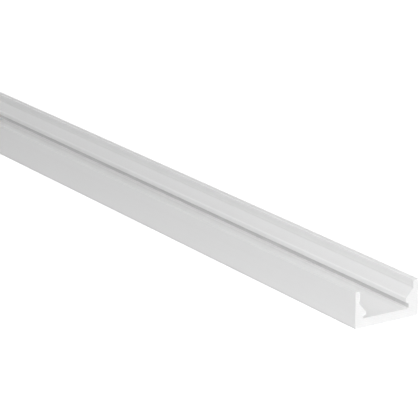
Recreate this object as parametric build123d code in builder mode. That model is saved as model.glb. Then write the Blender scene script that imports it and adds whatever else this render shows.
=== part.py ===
from build123d import *
import os

# A slim extruded aluminium channel for an LED strip, lying on its flat back with its open side up.
# X runs along the length, Y across the width and Z up. The origin is the middle of the underside.
# The strip lies on the floor between the two ribs, and a snap-in cover would hook below the lips.

# Overall size, in millimetres
profile_length = 500.0
profile_width = 16.0
profile_height = 8.0
floor_thickness = 2.0

# Rounding of the outer edges and of the corner between floor and undercut
base_edge_radius = 0.3
top_edge_radius = 0.15
floor_corner_radius = 0.2

# Front wall: thicknesses from its outer face, lip and neck depths from the top, rib heights from the floor
front_lip_thickness = 1.1
front_lip_face = 1.3
front_lip_radius = 0.45
front_neck_thickness = 0.93
front_neck_depth = 2.6
front_neck_radius = 0.4
front_rib_reach = 2.7
front_rib_clearance = 0.85
front_rib_face = 0.45
front_rib_radius = 0.25
front_undercut_depth = 0.75
front_undercut_height = 0.4

# Back wall, in the same terms: thicker, with its rib set higher over a taller undercut
back_lip_thickness = 1.45
back_lip_face = 0.6
back_lip_radius = 0.15
back_neck_thickness = 1.35
back_neck_depth = 1.65
back_neck_radius = 0.6
back_rib_reach = 3.2
back_rib_clearance = 1.3
back_rib_face = 0.9
back_rib_radius = 0.25
back_undercut_depth = 0.7
back_undercut_height = 1.0


def wall_inside(
    lip_thickness,
    lip_face,
    lip_radius,
    neck_thickness,
    neck_depth,
    neck_radius,
    rib_reach,
    rib_clearance,
    rib_face,
    rib_radius,
    undercut_depth,
    undercut_height,
):
    """Corners of one wall's inner side, from the top down to the floor.

    Each corner is its distance from the wall's outer face, its height and its radius.
    """
    rib_bottom = floor_thickness + rib_clearance
    undercut_reach = rib_reach - undercut_depth
    return [
        (lip_thickness, profile_height, lip_radius),
        (lip_thickness, profile_height - lip_face, neck_radius),
        (neck_thickness, profile_height - neck_depth, neck_radius),
        (rib_reach, rib_bottom + rib_face, rib_radius),
        (rib_reach, rib_bottom, rib_radius),
        (undercut_reach, floor_thickness + undercut_height, 0),
        (undercut_reach, floor_thickness, floor_corner_radius),
    ]


front_side = -profile_width / 2
back_side = profile_width / 2

front_inside = wall_inside(
    front_lip_thickness,
    front_lip_face,
    front_lip_radius,
    front_neck_thickness,
    front_neck_depth,
    front_neck_radius,
    front_rib_reach,
    front_rib_clearance,
    front_rib_face,
    front_rib_radius,
    front_undercut_depth,
    front_undercut_height,
)
back_inside = wall_inside(
    back_lip_thickness,
    back_lip_face,
    back_lip_radius,
    back_neck_thickness,
    back_neck_depth,
    back_neck_radius,
    back_rib_reach,
    back_rib_clearance,
    back_rib_face,
    back_rib_radius,
    back_undercut_depth,
    back_undercut_height,
)

# The section's corners in order: round the outside, down the back wall, over the floor and up the front wall
corners = [
    (front_side, profile_height, top_edge_radius),
    (front_side, 0, base_edge_radius),
    (back_side, 0, base_edge_radius),
    (back_side, profile_height, top_edge_radius),
]
corners += [(back_side - reach, height, radius) for reach, height, radius in back_inside]
corners += [(front_side + reach, height, radius) for reach, height, radius in reversed(front_inside)]

# Channel: one solid, the section drawn out along the whole length and cut square at both ends
with BuildPart() as channel_profile:
    with BuildSketch(Plane.YZ) as section:
        with BuildLine():
            FilletPolyline(
                [(y, z) for y, z, radius in corners],
                radius=[radius for y, z, radius in corners],
                close=True,
            )
        make_face()
    extrude(amount=profile_length / 2, both=True)

channel_profile.part.label = "channel_profile"

strip_gap = profile_width - front_rib_reach - back_rib_reach
print(f"gap between the ribs {strip_gap:.2f} mm, section {section.sketch.area:.2f} mm2")

os.makedirs("parts", exist_ok=True)
export_step(channel_profile.part, "parts/channel_profile.step")
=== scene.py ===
import math

import bmesh
import bpy
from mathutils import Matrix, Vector


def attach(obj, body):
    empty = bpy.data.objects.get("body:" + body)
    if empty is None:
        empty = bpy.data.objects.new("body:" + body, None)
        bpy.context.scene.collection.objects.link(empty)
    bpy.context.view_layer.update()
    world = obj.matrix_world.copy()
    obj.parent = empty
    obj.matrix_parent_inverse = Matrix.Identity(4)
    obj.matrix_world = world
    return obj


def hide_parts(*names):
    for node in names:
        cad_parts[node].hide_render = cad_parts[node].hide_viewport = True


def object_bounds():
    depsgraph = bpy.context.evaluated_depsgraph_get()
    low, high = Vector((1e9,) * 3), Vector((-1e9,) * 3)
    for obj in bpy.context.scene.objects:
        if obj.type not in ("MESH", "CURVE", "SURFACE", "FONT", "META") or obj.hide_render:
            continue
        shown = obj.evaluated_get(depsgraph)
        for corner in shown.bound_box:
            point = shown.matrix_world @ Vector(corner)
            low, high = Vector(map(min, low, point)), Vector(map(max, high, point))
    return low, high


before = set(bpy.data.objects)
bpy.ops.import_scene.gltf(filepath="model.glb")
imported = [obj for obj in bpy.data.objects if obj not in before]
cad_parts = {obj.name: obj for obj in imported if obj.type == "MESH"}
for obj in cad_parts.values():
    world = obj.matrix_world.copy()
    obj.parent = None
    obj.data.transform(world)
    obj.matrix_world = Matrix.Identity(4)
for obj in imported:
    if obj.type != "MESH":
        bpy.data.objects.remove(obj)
cad_low, cad_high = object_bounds()

# A slim extruded aluminium channel for an LED strip, lying on its flat back with its open side up.
# X runs along the length, Y across the width and Z up.
# Sizes are in millimetres, but the studio, its lamps and the camera's distances are in metres.
MM = 0.001

# The section: overall size, floor and the roundings of the outer edges
LENGTH = (cad_high.x - cad_low.x) / MM
WIDTH = 16.0
HEIGHT = 8.0
FLOOR_THICKNESS = 2.0
BASE_EDGE_RADIUS = 0.1
TOP_EDGE_RADIUS = 0.15
FLOOR_CORNER_RADIUS = 0.2

# Each wall: thicknesses and reaches from its outer face, lip and neck depths from the top,
# rib and undercut heights from the floor
FRONT_WALL = {
    "lip_thickness": 1.1,
    "lip_face": 1.3,
    "lip_radius": 0.45,
    "neck_thickness": 0.93,
    "neck_depth": 2.6,
    "neck_radius": 0.4,
    "rib_reach": 2.7,
    "rib_clearance": 0.85,
    "rib_face": 0.45,
    "rib_radius": 0.25,
    "undercut_depth": 0.75,
    "undercut_height": 0.4,
}
BACK_WALL = {
    "lip_thickness": 1.45,
    "lip_face": 0.6,
    "lip_radius": 0.15,
    "neck_thickness": 1.35,
    "neck_depth": 1.65,
    "neck_radius": 0.6,
    "rib_reach": 3.2,
    "rib_clearance": 1.3,
    "rib_face": 0.9,
    "rib_radius": 0.25,
    "undercut_depth": 0.7,
    "undercut_height": 1.0,
}

# How the mesh is made
ROUNDING_SEGMENTS = 8
CUT_EDGE = 0.05  # the fine broken edge that deburring leaves round each sawn end
END_FACING = 0.9  # how far along X a face points, from which it is a whole sawn end
CUT_FACING = 0.3  # the same, from which a face is bare metal, so that the broken edge is too
SHARP_ANGLE = math.radians(25)

# Drawn lines and clouds of the sides: their fineness, stretch along X, and share of the pattern
LINE_PATTERN = {"Bands per metre": 1400.0, "Lines per metre": 9000.0, "Clouds per metre": 60.0}
BAND_DETAIL = 2.0
LINE_DETAIL = 3.0
LINE_GRITTINESS = 0.6
CLOUD_DETAIL = 3.0
LINE_STRETCH = (0.004, 1.0, 1.0)
CLOUD_STRETCH = (0.25, 1.0, 1.0)
NOISE_RANGE = (0.3, 0.7)  # the part of a noise's range that its values mostly fill
FINE_LINE_SHARE = 0.55
CLOUD_SHARE = 0.4

# Saw marks of the cut ends, as rings round a blade whose centre is below and in front, in metres
SAW_PATTERN = {"Marks per metre": 700.0}
BLADE_CENTRE = Vector((0.0, -0.05, -0.12))
SAW_WOBBLE = 6.0
SAW_DETAIL = 3.0
SAW_DETAIL_SIZE = 2.0
GRAIN_PER_METRE = 9000.0
GRAIN_DETAIL = 2.0
GRAIN_SHARE = 0.5

# Places of painted light and painted shade: how far each goes past the section's own corners
SOFT_EDGE = 0.1  # half the width of the change from one tone to the next
ROUND_EDGE = 0.2  # lips and ribs get painted light this far round their edges
FLOOR_EDGE = 0.25  # the floor gets painted light this far in front of the ribs
ABOVE_FLOOR = 0.15  # up to here the floor and its corner count as floor
ABOVE_CORNER = 0.1  # a slope begins and ends this far above the rib and the neck
RIB_FOOT = 0.6  # height above the floor, from which the ribs get painted light
TOP_DEPTH = 0.1  # how far down the wall its top goes
BASE_BAND = 0.45  # height of the band of painted contact shadow along the base
SLOPE_SHADE = 0.15  # painted shade on the slopes and the base, beside that in the undercuts
BASE_SHADE = 0.38

# What each place of painted light or painted shade does to the tone: its share of the way to
# another grey
TONE_SHIFTS = (
    # Painted light on lips, ribs and the floor beside them; painted shade in the undercuts, on the
    # slopes and along the base; painted shade on the front wall's top
    ("Painted light", 1.0, 1.0),
    ("Painted shade", 0.34, 0.4),
    ("Painted top shade", 0.13, 0.6),
)
# The places of painted light are also a little smoother, and those of painted shade a little
# rougher
PAINTED_LIGHT_SMOOTHER = 0.04
PAINTED_SHADE_ROUGHER = 0.2

# The two finishes
METALLIC = 0.1
ANODISED_TONE = (0.91, 0.95)
ANODISED_ROUGHNESS = (0.42, 0.58)
SAWN_TONE = (0.9, 0.95)
SAWN_ROUGHNESS = (0.44, 0.56)
RELIEF_DEPTH = 0.006

# The studio: floor, light from all round, and lamps as place, target, width, height and watts
FLOOR_HALF = 8.0
FLOOR_GAP = 0.00005
FLOOR_TONE = 0.75
FLOOR_LIFT = 0.8
WORLD_LIGHT = 0.185
SOFTBOXES = {
    "near_end_softbox": ((0.461, -0.019, 0.125), (0.245, 0.0, 0.0), 0.15, 0.15, 0.37),
    "front_softbox": ((0.29, -0.46, 0.13), (0.26, 0.0, 0.0), 0.38, 0.2, 0.255),
    "upper_front_softbox": ((0.25, -0.172, 0.303), (0.22, 0.0, 0.0), 0.3, 0.3, 0.36),
    "back_softbox": ((-0.05, 0.571, 0.185), (-0.05, 0.0, 0.0), 1.0, 0.2, 0.45),
    "far_end_softbox": ((-0.584, 0.0, 0.241), (-0.24, 0.0, 0.0), 0.3, 0.3, 0.3),
    "overhead_softbox": ((-0.05, 0.139, 0.788), (-0.05, 0.0, 0.0), 0.7, 0.5, 0.15),
}

# The camera: the frame's pixel where the near bottom corner lies, and the distance to that corner
FRAME_SIDE = 420
LENS = 191.84
SENSOR = 36.0
NEAREST_SEEN = 0.01
FARTHEST_SEEN = 50.0
LOOK_DOWN = math.radians(17.227)
LOOK_TURN = math.radians(57.36)
CORNER = Vector((LENGTH / 2, -WIDTH / 2, 0)) * MM
CORNER_PIXEL = (355.0, 329.66)
CORNER_DEPTH = 0.4521


def new_mesh_object(name, bm):
    """Turns a finished bmesh into an object at the origin."""
    mesh = bpy.data.meshes.new(name)
    bm.to_mesh(mesh)
    bm.free()
    piece = bpy.data.objects.new(name, mesh)
    bpy.context.collection.objects.link(piece)
    return piece


def wall_inside(wall):
    """Corners of one wall's inner side, from the top down to the floor.

    Each corner is its distance from the wall's outer face, its height and its radius.
    """
    rib_bottom = FLOOR_THICKNESS + wall["rib_clearance"]
    undercut_reach = wall["rib_reach"] - wall["undercut_depth"]
    return [
        (wall["lip_thickness"], HEIGHT, wall["lip_radius"]),
        (wall["lip_thickness"], HEIGHT - wall["lip_face"], wall["neck_radius"]),
        (wall["neck_thickness"], HEIGHT - wall["neck_depth"], wall["neck_radius"]),
        (wall["rib_reach"], rib_bottom + wall["rib_face"], wall["rib_radius"]),
        (wall["rib_reach"], rib_bottom, wall["rib_radius"]),
        (undercut_reach, FLOOR_THICKNESS + wall["undercut_height"], 0),
        (undercut_reach, FLOOR_THICKNESS, FLOOR_CORNER_RADIUS),
    ]


def section_corners():
    """The section's corners in order, as places across and up and their radii.

    They go round the outside, down the back wall, over the floor and up the front wall.
    """
    front, back = -WIDTH / 2, WIDTH / 2
    corners = [
        (front, HEIGHT, TOP_EDGE_RADIUS),
        (front, 0, BASE_EDGE_RADIUS),
        (back, 0, BASE_EDGE_RADIUS),
        (back, HEIGHT, TOP_EDGE_RADIUS),
    ]
    back_inside = wall_inside(BACK_WALL)
    front_inside = reversed(wall_inside(FRONT_WALL))
    corners += [(back - reach, up, radius) for reach, up, radius in back_inside]
    corners += [(front + reach, up, radius) for reach, up, radius in front_inside]
    return corners


def round_corner(bm, corner, half_angle, radius):
    """Rounds one corner of the section, where half_angle is half the angle between its sides."""
    bmesh.ops.bevel(
        bm,
        geom=[corner],
        offset=radius * MM / math.tan(half_angle),
        offset_type="OFFSET",
        affect="VERTICES",
        segments=ROUNDING_SEGMENTS,
        profile=0.5,
        material=-1,
        clamp_overlap=False,
    )


def draw_section(bm, along):
    """The rounded section as one face, at a place along X."""
    corners = section_corners()
    verts = [bm.verts.new((along, across * MM, up * MM)) for across, up, radius in corners]
    bm.faces.new(verts)
    places = [vert.co.copy() for vert in verts]
    for i, (across, up, radius) in enumerate(corners):
        if radius:
            to_last = places[i - 1] - places[i]
            to_next = places[(i + 1) % len(places)] - places[i]
            round_corner(bm, verts[i], to_last.angle(to_next) / 2, radius)


def break_end_edge(bm, end):
    """Sets the rim of a sawn end back a little, as deburring does."""
    rim = list(end.verts)
    inward = -math.copysign(CUT_EDGE * MM, end.normal.x)
    bmesh.ops.inset_region(bm, faces=[end], thickness=CUT_EDGE * MM, use_even_offset=True)
    bmesh.ops.translate(bm, verts=rim, vec=(inward, 0, 0))


def make_profile():
    """The whole extrusion: the section drawn out along X, lightly deburred at both sawn ends."""
    bm = bmesh.new()
    draw_section(bm, -LENGTH / 2 * MM)
    drawn = bmesh.ops.extrude_face_region(bm, geom=list(bm.faces), use_keep_orig=True)
    moved = [item for item in drawn["geom"] if isinstance(item, bmesh.types.BMVert)]
    bmesh.ops.translate(bm, verts=moved, vec=(LENGTH * MM, 0, 0))
    bmesh.ops.recalc_face_normals(bm, faces=bm.faces)
    for end in [face for face in bm.faces if abs(face.normal.x) > END_FACING]:
        break_end_edge(bm, end)

    for face in bm.faces:
        face.smooth = True
        face.material_index = 1 if abs(face.normal.x) > CUT_FACING else 0
    for edge in bm.edges:
        edge.smooth = edge.calc_face_angle() < SHARP_ANGLE
    piece = new_mesh_object("channel_extrusion", bm)
    weighted = piece.modifiers.new("weighted_normals", "WEIGHTED_NORMAL")
    weighted.keep_sharp = True
    return piece


def feed(tree, socket, value):
    """Gives a node's input a number or a colour, or what another node puts out."""
    if isinstance(value, bpy.types.NodeSocket):
        tree.links.new(value, socket)
    else:
        socket.default_value = value


def calculate(tree, operation, a, b):
    """One sum on two numbers, each fixed or varying over the surface."""
    node = tree.nodes.new("ShaderNodeMath")
    node.operation = operation
    feed(tree, node.inputs[0], a)
    feed(tree, node.inputs[1], b)
    return node.outputs["Value"]


def times(tree, a, b):
    """The product of two numbers."""
    return calculate(tree, "MULTIPLY", a, b)


def minus(tree, a, b):
    """The first number less the second."""
    return calculate(tree, "SUBTRACT", a, b)


def larger(tree, a, b):
    """The larger of two numbers."""
    return calculate(tree, "MAXIMUM", a, b)


def mix(tree, kind, a, b, share):
    """Mixes two numbers (kind FLOAT) or two colours (kind RGBA), with share of the second."""
    node = tree.nodes.new("ShaderNodeMix")
    node.data_type = kind
    feed(tree, node.inputs["A"], a)
    feed(tree, node.inputs["B"], b)
    feed(tree, node.inputs["Factor"], share)
    return node.outputs["Result"]


def remap(tree, value, source=(0.0, 1.0), target=(0.0, 1.0), change="LINEAR"):
    """Maps a value from the source range to the target range, and holds it at both ends."""
    node = tree.nodes.new("ShaderNodeMapRange")
    node.interpolation_type = change
    node.inputs["From Min"].default_value, node.inputs["From Max"].default_value = source
    node.inputs["To Min"].default_value, node.inputs["To Max"].default_value = target
    tree.links.new(value, node.inputs["Value"])
    return node.outputs["Result"]


def noise(tree, vector, scale, detail, roughness=0.5):
    """A noise with so many features per metre of its vector."""
    node = tree.nodes.new("ShaderNodeTexNoise")
    node.inputs["Detail"].default_value = detail
    node.inputs["Roughness"].default_value = roughness
    tree.links.new(vector, node.inputs["Vector"])
    feed(tree, node.inputs["Scale"], scale)
    return node.outputs["Fac"]


def object_place(tree):
    """The place on the object, in metres from its origin."""
    return tree.nodes.new("ShaderNodeTexCoord").outputs["Object"]


def map_place(tree, place, setting, values):
    """A place moved by a Location or stretched by a Scale."""
    node = tree.nodes.new("ShaderNodeMapping")
    node.inputs[setting].default_value = values
    tree.links.new(place, node.inputs["Vector"])
    return node.outputs["Vector"]


def shader_group(name, inputs, outputs):
    """A node group with number inputs and outputs, and the sockets of both inside it."""
    group = bpy.data.node_groups.new(name, "ShaderNodeTree")
    for label, value in inputs.items():
        socket = group.interface.new_socket(label, in_out="INPUT", socket_type="NodeSocketFloat")
        socket.default_value = value
    for label in outputs:
        group.interface.new_socket(label, in_out="OUTPUT", socket_type="NodeSocketFloat")
    given = group.nodes.new("NodeGroupInput").outputs
    made = group.nodes.new("NodeGroupOutput").inputs
    return group, given, made


def place_group(tree, group):
    """The outputs of a node group, placed in a material's tree."""
    node = tree.nodes.new("ShaderNodeGroup")
    node.node_tree = group
    return node.outputs


def drawn_lines_group():
    """Fine lines that the die leaves along X, and slow cloudiness of the oxide, from 0 to 1."""
    group, given, made = shader_group("drawn_lines", LINE_PATTERN, ["Lines", "Clouds"])
    place = object_place(group)
    along = map_place(group, place, "Scale", LINE_STRETCH)
    bands = noise(group, along, given["Bands per metre"], BAND_DETAIL)
    lines = noise(group, along, given["Lines per metre"], LINE_DETAIL, LINE_GRITTINESS)
    bands = remap(group, bands, source=NOISE_RANGE)
    lines = remap(group, lines, source=NOISE_RANGE)
    group.links.new(mix(group, "FLOAT", bands, lines, FINE_LINE_SHARE), made["Lines"])

    loose = map_place(group, place, "Scale", CLOUD_STRETCH)
    clouds = noise(group, loose, given["Clouds per metre"], CLOUD_DETAIL)
    group.links.new(remap(group, clouds, source=NOISE_RANGE), made["Clouds"])
    return group


def step_up(tree, value, at):
    """0 below the place at, in millimetres, and 1 above it, with a soft change between them."""
    edge = ((at - SOFT_EDGE) * MM, (at + SOFT_EDGE) * MM)
    return remap(tree, value, source=edge, change="SMOOTHSTEP")


def between_walls(tree, across, reach, past):
    """1 between the walls' lips or ribs, as reach names them, and so far past their edges."""
    front, back = FRONT_WALL[reach], BACK_WALL[reach]
    middle = (front - back) / 2
    half = (WIDTH - front - back) / 2 + past
    off_middle = calculate(tree, "ABSOLUTE", minus(tree, across, middle * MM), 0.0)
    return minus(tree, 1.0, step_up(tree, off_middle, half))


def painted_tone_masks_group():
    """Masks across the section for painted light and painted shade: lighter lips, ribs and floor
    by the ribs; darker undercuts, slopes, base and front top.
    """
    group, given, made = shader_group("painted_tone_masks", {}, ["Painted light", "Painted shade", "Painted top shade"])
    split = group.nodes.new("ShaderNodeSeparateXYZ")
    group.links.new(object_place(group), split.inputs["Vector"])
    across, up = split.outputs["Y"], split.outputs["Z"]
    lips = between_walls(group, across, "lip_thickness", ROUND_EDGE)
    ribs = between_walls(group, across, "rib_reach", ROUND_EDGE)
    strip = between_walls(group, across, "rib_reach", -FLOOR_EDGE)

    rib_bottom = FLOOR_THICKNESS + BACK_WALL["rib_clearance"]
    rib_top = rib_bottom + BACK_WALL["rib_face"]
    above_neck = step_up(group, up, HEIGHT - BACK_WALL["neck_depth"] + ABOVE_CORNER)
    off_floor = step_up(group, up, FLOOR_THICKNESS + ABOVE_FLOOR)
    on_floor = minus(group, step_up(group, up, FLOOR_THICKNESS / 2), off_floor)

    # Painted light on the lip faces, the rib faces and the floor in front of the ribs, lifting
    # them out of the channel's shade
    lip_faces = times(group, lips, above_neck)
    rib_faces = times(group, ribs, step_up(group, up, FLOOR_THICKNESS + RIB_FOOT))
    floor_edges = times(group, minus(group, lips, strip), on_floor)
    painted_light = larger(group, larger(group, lip_faces, rib_faces), floor_edges)
    group.links.new(painted_light, made["Painted light"])

    # Painted shade in the undercuts under the ribs, lighter painted shade on the slopes, and a
    # painted contact shadow along the base
    beyond_ribs = minus(group, lips, ribs)
    in_undercuts = minus(group, off_floor, step_up(group, up, rib_bottom))
    on_slopes = minus(group, step_up(group, up, rib_top + ABOVE_CORNER), above_neck)
    on_base = minus(group, 1.0, step_up(group, up, BASE_BAND))
    inner_shade = calculate(group, "ADD", in_undercuts, times(group, on_slopes, SLOPE_SHADE))
    inner_shade = times(group, beyond_ribs, inner_shade)
    group.links.new(larger(group, inner_shade, times(group, on_base, BASE_SHADE)), made["Painted shade"])

    # Painted shade on the front wall's top, which the lamps from above light more than the sides
    in_front = minus(group, 1.0, step_up(group, across, 0.0))
    at_top = step_up(group, up, HEIGHT - TOP_DEPTH)
    group.links.new(times(group, in_front, at_top), made["Painted top shade"])
    return group


def saw_marks_group():
    """Faint arcs that a disc saw leaves across a cut end, with the metal's grain, from 0 to 1."""
    group, given, made = shader_group("saw_marks", SAW_PATTERN, ["Marks"])
    place = object_place(group)
    arcs = group.nodes.new("ShaderNodeTexWave")
    arcs.wave_type = "RINGS"
    arcs.rings_direction = "X"
    arcs.inputs["Distortion"].default_value = SAW_WOBBLE
    arcs.inputs["Detail"].default_value = SAW_DETAIL
    arcs.inputs["Detail Scale"].default_value = SAW_DETAIL_SIZE
    from_blade = map_place(group, place, "Location", -BLADE_CENTRE)
    group.links.new(from_blade, arcs.inputs["Vector"])
    group.links.new(given["Marks per metre"], arcs.inputs["Scale"])
    grain = noise(group, place, GRAIN_PER_METRE, GRAIN_DETAIL)
    marks = mix(group, "FLOAT", arcs.outputs["Fac"], grain, GRAIN_SHARE)
    group.links.new(marks, made["Marks"])
    return group


def grey(level):
    """A neutral grey as a colour."""
    return (level, level, level, 1.0)


def grey_ramp(tree, pattern, ends):
    """A grey from the first of two levels to the second as the pattern goes from 0 to 1."""
    return mix(tree, "RGBA", grey(ends[0]), grey(ends[1]), pattern)


def metal_shader(name):
    """A new material with a metal surface, and its node tree and shader node."""
    material = bpy.data.materials.new(name)
    material.use_nodes = True
    tree = material.node_tree
    shader = tree.nodes["Principled BSDF"]
    shader.inputs["Metallic"].default_value = METALLIC
    return material, tree, shader


def add_relief(tree, shader, height):
    """Raises the surface by a height value as bump."""
    bump = tree.nodes.new("ShaderNodeBump")
    bump.inputs["Distance"].default_value = RELIEF_DEPTH * MM
    bump.inputs["Strength"].default_value = 1.0
    tree.links.new(height, bump.inputs["Height"])
    tree.links.new(bump.outputs["Normal"], shader.inputs["Normal"])


def satin_anodised(drawn_lines, painted_tone_masks):
    """Etched and clear anodised aluminium, satin and finely lined along its length."""
    material, tree, shader = metal_shader("satin_anodised_aluminium")
    surface = place_group(tree, drawn_lines)
    painted_tones = place_group(tree, painted_tone_masks)
    pattern = mix(tree, "FLOAT", surface["Lines"], surface["Clouds"], CLOUD_SHARE)

    tone = grey_ramp(tree, pattern, ANODISED_TONE)
    # Painted light and painted shade at places across the section, mixed into the tone
    for place, share, level in TONE_SHIFTS:
        tone = mix(tree, "RGBA", tone, grey(level), times(tree, painted_tones[place], share))
    tree.links.new(tone, shader.inputs["Base Color"])

    rough = remap(tree, pattern, target=ANODISED_ROUGHNESS)
    rough = minus(tree, rough, times(tree, painted_tones["Painted light"], PAINTED_LIGHT_SMOOTHER))
    rough = calculate(tree, "ADD", rough, times(tree, painted_tones["Painted shade"], PAINTED_SHADE_ROUGHER))
    tree.links.new(rough, shader.inputs["Roughness"])
    add_relief(tree, shader, surface["Lines"])
    return material


def sawn_aluminium(saw_marks):
    """The bare metal of a cut end, with its saw marks in tone, roughness and relief."""
    material, tree, shader = metal_shader("sawn_aluminium")
    marks = place_group(tree, saw_marks)["Marks"]
    tree.links.new(grey_ramp(tree, marks, SAWN_TONE), shader.inputs["Base Color"])
    tree.links.new(remap(tree, marks, target=SAWN_ROUGHNESS), shader.inputs["Roughness"])
    add_relief(tree, shader, marks)
    return material


def seen_directly(tree):
    """1 for a ray from the camera, off a glossy surface or through glass, else 0."""
    rays = tree.nodes.new("ShaderNodeLightPath").outputs
    seen = larger(tree, rays["Is Camera Ray"], rays["Is Glossy Ray"])
    return larger(tree, seen, rays["Is Transmission Ray"])


def floor_paint():
    """Matt white paint with a glow where it is seen directly, so that it looks plain white."""
    material = bpy.data.materials.new("white_floor")
    material.use_nodes = True
    tree = material.node_tree
    tree.nodes.clear()
    paint = tree.nodes.new("ShaderNodeBsdfDiffuse")
    paint.inputs["Color"].default_value = grey(FLOOR_TONE)
    glow = tree.nodes.new("ShaderNodeEmission")
    tree.links.new(times(tree, seen_directly(tree), FLOOR_LIFT), glow.inputs["Strength"])
    both = tree.nodes.new("ShaderNodeAddShader")
    tree.links.new(paint.outputs["BSDF"], both.inputs[0])
    tree.links.new(glow.outputs["Emission"], both.inputs[1])
    output = tree.nodes.new("ShaderNodeOutputMaterial")
    tree.links.new(both.outputs["Shader"], output.inputs["Surface"])
    return material


def add_floor():
    """A wide floor just under the object, which keeps its soft shadow."""
    bm = bmesh.new()
    bmesh.ops.create_grid(bm, x_segments=1, y_segments=1, size=FLOOR_HALF)
    bmesh.ops.translate(bm, verts=bm.verts, vec=(0, 0, -FLOOR_GAP))
    floor = new_mesh_object("studio_floor", bm)
    floor.data.materials.append(floor_paint())


def add_world():
    """Soft light from all round, and plain white where it is seen directly past the floor."""
    world = bpy.data.worlds.new("studio")
    world.use_nodes = True
    tree = world.node_tree
    background = tree.nodes["Background"]
    background.inputs["Color"].default_value = grey(1.0)
    level = remap(tree, seen_directly(tree), target=(WORLD_LIGHT, 1.0))
    tree.links.new(level, background.inputs["Strength"])
    bpy.context.scene.world = world


def add_softbox(name, centre, target, width, height, watts):
    """A rectangular lamp at centre, facing target."""
    lamp = bpy.data.lights.new(name, "AREA")
    lamp.shape = "RECTANGLE"
    lamp.size = width
    lamp.size_y = height
    lamp.energy = watts
    softbox = bpy.data.objects.new(name, lamp)
    softbox.location = centre
    facing = Vector(target) - Vector(centre)
    softbox.rotation_euler = facing.to_track_quat("-Z", "Y").to_euler()
    bpy.context.collection.objects.link(softbox)


def add_camera():
    """A long lens, level from side to side, with the near bottom corner at its pixel."""
    lens = bpy.data.cameras.new("camera")
    lens.lens = LENS
    lens.sensor_width = SENSOR
    lens.clip_start = NEAREST_SEEN
    lens.clip_end = FARTHEST_SEEN
    camera = bpy.data.objects.new("camera", lens)
    camera.rotation_euler = (math.pi / 2 - LOOK_DOWN, 0.0, LOOK_TURN)
    focal = LENS / SENSOR * FRAME_SIDE
    right = (CORNER_PIXEL[0] - FRAME_SIDE / 2) / focal
    above = (FRAME_SIDE / 2 - CORNER_PIXEL[1]) / focal
    to_corner = Vector((right, above, -1.0)) * CORNER_DEPTH
    camera.location = CORNER - camera.rotation_euler.to_matrix() @ to_corner
    bpy.context.collection.objects.link(camera)
    bpy.context.scene.camera = camera


profile = make_profile()
profile.data.materials.append(satin_anodised(drawn_lines_group(), painted_tone_masks_group()))
profile.data.materials.append(sawn_aluminium(saw_marks_group()))
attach(profile, "root")
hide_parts("channel_profile")

add_floor()
add_world()
for name, settings in SOFTBOXES.items():
    add_softbox(name, *settings)
add_camera()
bpy.context.scene.view_settings.view_transform = "Standard"
